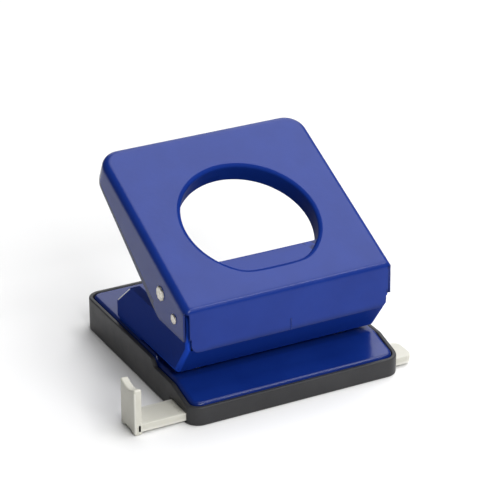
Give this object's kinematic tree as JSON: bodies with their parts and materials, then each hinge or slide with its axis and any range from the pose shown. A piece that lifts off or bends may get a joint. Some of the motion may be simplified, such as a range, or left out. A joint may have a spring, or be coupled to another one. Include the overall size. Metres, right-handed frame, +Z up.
{
  "type": "paper hole punch",
  "caption": "Desk punch for paper: raised lever handle with a hand hole, sprung pins, slanted throat, sliding side guide and lift-off chip tray.",
  "frame": {"origin": "centre of the chip tray's underside", "axes": "+X to the right seen from the front, along the paper guide; +Y from the paper's side to the back; +Z up"},
  "size_m": [0.1549, 0.1236, 0.1031],
  "materials": {
    "black_plastic": "satin moulded plastic",
    "blue_enamel": "gloss stove enamel",
    "bare_steel": "ground",
    "nickel": "nickel plated",
    "brass_bush": "turned",
    "spring_steel": "drawn wire",
    "grey_plastic": "fine moulded texture"
  },
  "bodies": {
    "tray": {"chip_tray": "black_plastic", "detent_spring": "spring_steel", "detent_screws": "nickel"},
    "base": {"base_plate": "blue_enamel", "punch_bracket": "blue_enamel", "pin_bridge": "bare_steel", "bracket_rivets": "nickel", "bridge_rivets": "nickel", "die_left": "bare_steel", "die_right": "bare_steel", "lower_bush_left": "brass_bush", "lower_bush_right": "brass_bush", "upper_bush_left": "brass_bush", "upper_bush_right": "brass_bush", "return_spring_left": "spring_steel", "return_spring_right": "spring_steel"},
    "handle": {"handle": "blue_enamel", "hinge_axle": "nickel", "drive_axle": "nickel", "hinge_washers": "nickel"},
    "pin_left": {"punch_pin_left": "bare_steel", "pin_clip_left": "spring_steel"},
    "pin_right": {"punch_pin_right": "bare_steel", "pin_clip_right": "spring_steel"},
    "guide": {"paper_guide": "grey_plastic"}
  },
  "joints": [
    {"name": "tray_release", "type": "slide", "parent": "tray", "child": "base", "axis": [0, 0, 1], "range_m": [0, 0.03]},
    {"name": "handle_hinge", "type": "hinge", "parent": "base", "child": "handle", "pos_m": [0, -0.04135, 0.0498], "axis": [-1, 0, 0], "range_deg": [0, 25], "stiffness_Nm_per_rad": 0.6, "springref_deg": -20.05},
    {"name": "pin_left_stroke", "type": "slide", "parent": "base", "child": "pin_left", "axis": [0, 0, -1], "range_m": [0, 0.007], "deforming": ["return_spring_left"]},
    {"name": "pin_right_stroke", "type": "slide", "parent": "base", "child": "pin_right", "axis": [0, 0, -1], "range_m": [0, 0.007], "deforming": ["return_spring_right"]},
    {"name": "guide_slide", "type": "slide", "parent": "tray", "child": "guide", "axis": [1, 0, 0], "range_m": [-0.0675, 0.0205]}
  ],
  "couplings": [
    {"joint": "pin_left_stroke", "follows": "handle_hinge", "m_per_rad": 0.0154},
    {"joint": "pin_right_stroke", "follows": "handle_hinge", "m_per_rad": 0.0154}
  ]
}
